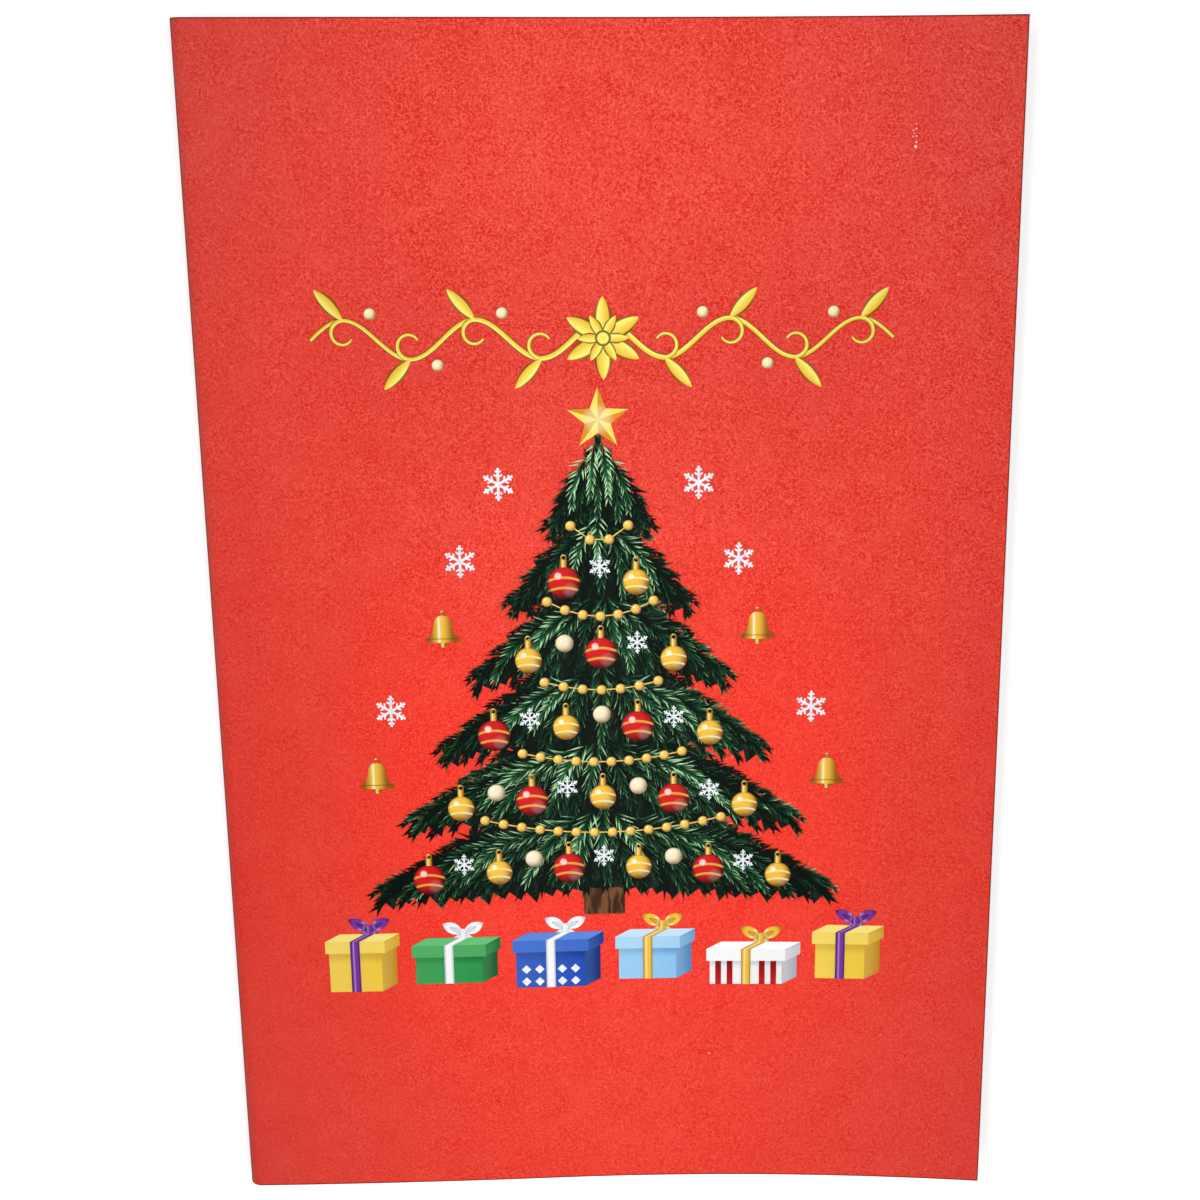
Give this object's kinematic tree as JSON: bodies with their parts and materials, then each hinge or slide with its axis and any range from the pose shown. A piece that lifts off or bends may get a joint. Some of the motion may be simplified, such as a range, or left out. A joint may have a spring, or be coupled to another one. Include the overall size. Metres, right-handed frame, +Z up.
{
  "type": "pop up card",
  "caption": "Closed pop-up greeting card of red pearl card with a printed fir tree, gift boxes and a gold scroll on its front, folded pop-up sheets inside.",
  "frame": {"origin": "on the ground under the middle of the closed card, which lies on its back panel", "axes": "+X from the fold to the fore edge, +Y from the foot to the head of the card, +Z up out of the front panel"},
  "size_m": [0.13, 0.198, 0.0063],
  "materials": {
    "red_pearl_card": "satin",
    "ivory_paper": "matte",
    "red_card": "matte",
    "green_card": "matte",
    "ink_gold": "satin",
    "ink_deep_red": "satin",
    "ink_cream": "satin",
    "ink_fir_green": "satin",
    "ink_purple": "satin",
    "ink_white": "satin",
    "ink_blue": "satin",
    "ink_green": "satin",
    "ink_sky": "satin",
    "ink_yellow": "satin",
    "ink_scroll_gold": "satin",
    "ink_fir_dark": "satin",
    "ink_brown": "satin"
  },
  "bodies": {
    "root": {"cover": "red_pearl_card", "liner": "ivory_paper", "popup_gifts": "red_card", "popup_tree_back": "green_card", "popup_tree_front": "green_card", "print_bauble_caps": "ink_gold", "print_baubles_gold": "ink_gold", "print_baubles_red": "ink_deep_red", "print_baubles_small": "ink_cream", "print_bells": "ink_gold", "print_boughs": "ink_fir_green", "print_bows_gold": "ink_gold", "print_bows_purple": "ink_purple", "print_bows_white": "ink_white", "print_garland": "ink_gold", "print_gift_blue": "ink_blue", "print_gift_green": "ink_green", "print_gift_lozenges": "ink_white", "print_gift_sky": "ink_sky", "print_gift_stripes": "ink_deep_red", "print_gift_white": "ink_white", "print_gift_yellow": "ink_yellow", "print_ribbons_gold": "ink_gold", "print_ribbons_purple": "ink_purple", "print_ribbons_white": "ink_white", "print_scroll": "ink_scroll_gold", "print_scroll_berries": "ink_cream", "print_snowflakes": "ink_white", "print_star": "ink_gold", "print_tree": "ink_fir_dark", "print_tree_flakes": "ink_white", "print_trunk": "ink_brown"}
  },
  "joints": []
}
